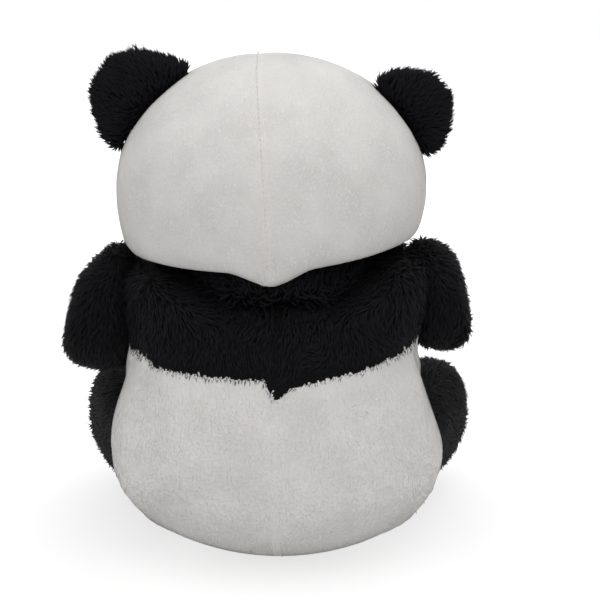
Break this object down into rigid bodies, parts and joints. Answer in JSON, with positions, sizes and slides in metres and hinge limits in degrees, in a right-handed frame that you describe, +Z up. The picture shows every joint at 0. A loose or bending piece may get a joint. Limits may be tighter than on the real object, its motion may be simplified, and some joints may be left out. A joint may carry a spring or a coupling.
{
  "type": "plush panda",
  "caption": "Seated plush panda of white and black pile fabric over stuffing, with a turning and nodding head, swinging arms, lifting legs and folding ears.",
  "frame": {"origin": "middle of the flat patch under the body that the panda sits on", "axes": "+Z up, the panda faces -Y and its left side is +X"},
  "size_m": [0.265, 0.2204, 0.3065],
  "materials": {
    "white_plush": "matte",
    "black_plush": "matte",
    "stuffing": "matte",
    "bean_fill": "matte",
    "black_eye_plastic": "gloss",
    "washer_plastic": "satin",
    "black_thread": "matte"
  },
  "bodies": {
    "torso": {"upper_back_left": "black_plush", "upper_back_right": "black_plush", "chest": "black_plush", "lower_back_left": "white_plush", "lower_back_right": "white_plush", "belly_left": "white_plush", "belly_right": "white_plush", "base_panel": "white_plush", "torso_stuffing": "stuffing", "bean_bag": "bean_fill"},
    "neck": {"neck_stuffing": "stuffing"},
    "head": {"head_back_left": "white_plush", "head_back_right": "white_plush", "head_face_left": "white_plush", "head_face_right": "white_plush", "head_stuffing": "stuffing", "muzzle_panel": "white_plush", "muzzle_stuffing": "stuffing", "nose": "black_eye_plastic", "nose_washer": "washer_plastic", "lip_stitch": "black_thread", "mouth_stitch": "black_thread", "eye_patch_left": "black_plush", "eye_left": "black_eye_plastic", "eye_washer_left": "washer_plastic", "eye_patch_right": "black_plush", "eye_right": "black_eye_plastic", "eye_washer_right": "washer_plastic"},
    "arm_left": {"arm_left_outer": "black_plush", "arm_left_inner": "black_plush", "arm_left_stuffing": "stuffing"},
    "leg_left": {"leg_left_outer": "black_plush", "leg_left_inner": "black_plush", "leg_left_sole": "black_plush", "leg_left_stuffing": "stuffing"},
    "ear_left": {"ear_left_front": "black_plush", "ear_left_back": "black_plush", "ear_left_stuffing": "stuffing"},
    "arm_right": {"arm_right_outer": "black_plush", "arm_right_inner": "black_plush", "arm_right_stuffing": "stuffing"},
    "leg_right": {"leg_right_outer": "black_plush", "leg_right_inner": "black_plush", "leg_right_sole": "black_plush", "leg_right_stuffing": "stuffing"},
    "ear_right": {"ear_right_front": "black_plush", "ear_right_back": "black_plush", "ear_right_stuffing": "stuffing"}
  },
  "joints": [
    {"name": "head_turn", "type": "hinge", "parent": "torso", "child": "neck", "pos_m": [0, 0, 0.155], "axis": [0, 0, 1], "range_deg": [-15, 15], "stiffness_Nm_per_rad": 0.6},
    {"name": "head_nod", "type": "hinge", "parent": "neck", "child": "head", "pos_m": [0, 0, 0.155], "axis": [1, 0, 0], "range_deg": [-6, 6], "stiffness_Nm_per_rad": 1.5},
    {"name": "arm_left_swing", "type": "hinge", "parent": "torso", "child": "arm_left", "pos_m": [0.08698, -0.006, 0.139], "axis": [-0.9744, 0, -0.225], "range_deg": [-2, 25], "stiffness_Nm_per_rad": 0.25},
    {"name": "leg_left_lift", "type": "hinge", "parent": "torso", "child": "leg_left", "pos_m": [0.044, -0.018, 0.04], "axis": [-0.9397, -0.342, 0], "range_deg": [0, 8], "stiffness_Nm_per_rad": 0.4},
    {"name": "ear_left_fold", "type": "hinge", "parent": "head", "child": "ear_left", "pos_m": [0.08138, 0.002, 0.27522], "axis": [0.6832, 0, -0.7303], "range_deg": [-20, 20], "stiffness_Nm_per_rad": 0.05},
    {"name": "arm_right_swing", "type": "hinge", "parent": "torso", "child": "arm_right", "pos_m": [-0.07898, -0.006, 0.139], "axis": [-0.9744, 0, 0.225], "range_deg": [-2, 25], "stiffness_Nm_per_rad": 0.25},
    {"name": "leg_right_lift", "type": "hinge", "parent": "torso", "child": "leg_right", "pos_m": [-0.044, -0.018, 0.04], "axis": [-0.9397, 0.342, 0], "range_deg": [0, 8], "stiffness_Nm_per_rad": 0.4},
    {"name": "ear_right_fold", "type": "hinge", "parent": "head", "child": "ear_right", "pos_m": [-0.0773, 0.002, 0.26816], "axis": [0.5991, 0, 0.8007], "range_deg": [-20, 20], "stiffness_Nm_per_rad": 0.05}
  ]
}
